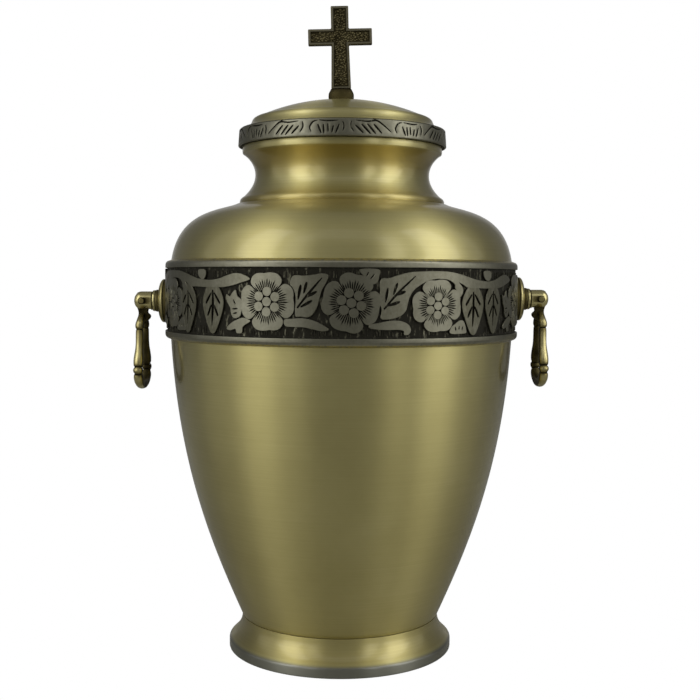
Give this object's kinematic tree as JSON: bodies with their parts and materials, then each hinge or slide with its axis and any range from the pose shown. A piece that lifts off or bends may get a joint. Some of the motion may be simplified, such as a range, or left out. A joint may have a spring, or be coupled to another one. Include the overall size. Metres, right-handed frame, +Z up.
{
  "type": "lidded urn",
  "caption": "Lidded brass urn on a spread foot, with a pewter band of flowers, a waisted neck, a low lid with a cross, and hinged drop handles.",
  "frame": {"origin": "centre of the foot's underside, on the ground", "axes": "+Z up along the urn's axis, front towards -Y, handles on the X axis"},
  "size_m": [0.2056, 0.1738, 0.3171],
  "materials": {
    "brass": "satin spun brass, brushed around, olive antique lacquer",
    "pewter": "antique pewter-plated brass, dark in the recesses",
    "aged_brass": "cast brass with a dark antique finish in the recesses",
    "dark_bronze": "cast brass with a dark bronze patina"
  },
  "bodies": {
    "urn": {"foot": "brass", "body": "brass", "band": "pewter", "neck": "brass", "lid_rim": "pewter", "lid": "brass", "cross_collar": "aged_brass", "cross": "dark_bronze", "left_rosette": "aged_brass", "left_post": "aged_brass", "left_pin": "aged_brass", "right_rosette": "aged_brass", "right_post": "aged_brass", "right_pin": "aged_brass"},
    "left_drop": {"left_handle": "aged_brass"},
    "right_drop": {"right_handle": "aged_brass"}
  },
  "joints": [
    {"name": "left_handle_swing", "type": "hinge", "parent": "urn", "child": "left_drop", "pos_m": [-0.0989, 0, 0.1723], "axis": [0, 1, 0], "range_deg": [-16, 95]},
    {"name": "right_handle_swing", "type": "hinge", "parent": "urn", "child": "right_drop", "pos_m": [0.0989, 0, 0.1742], "axis": [0, -1, 0], "range_deg": [-16, 95]}
  ]
}
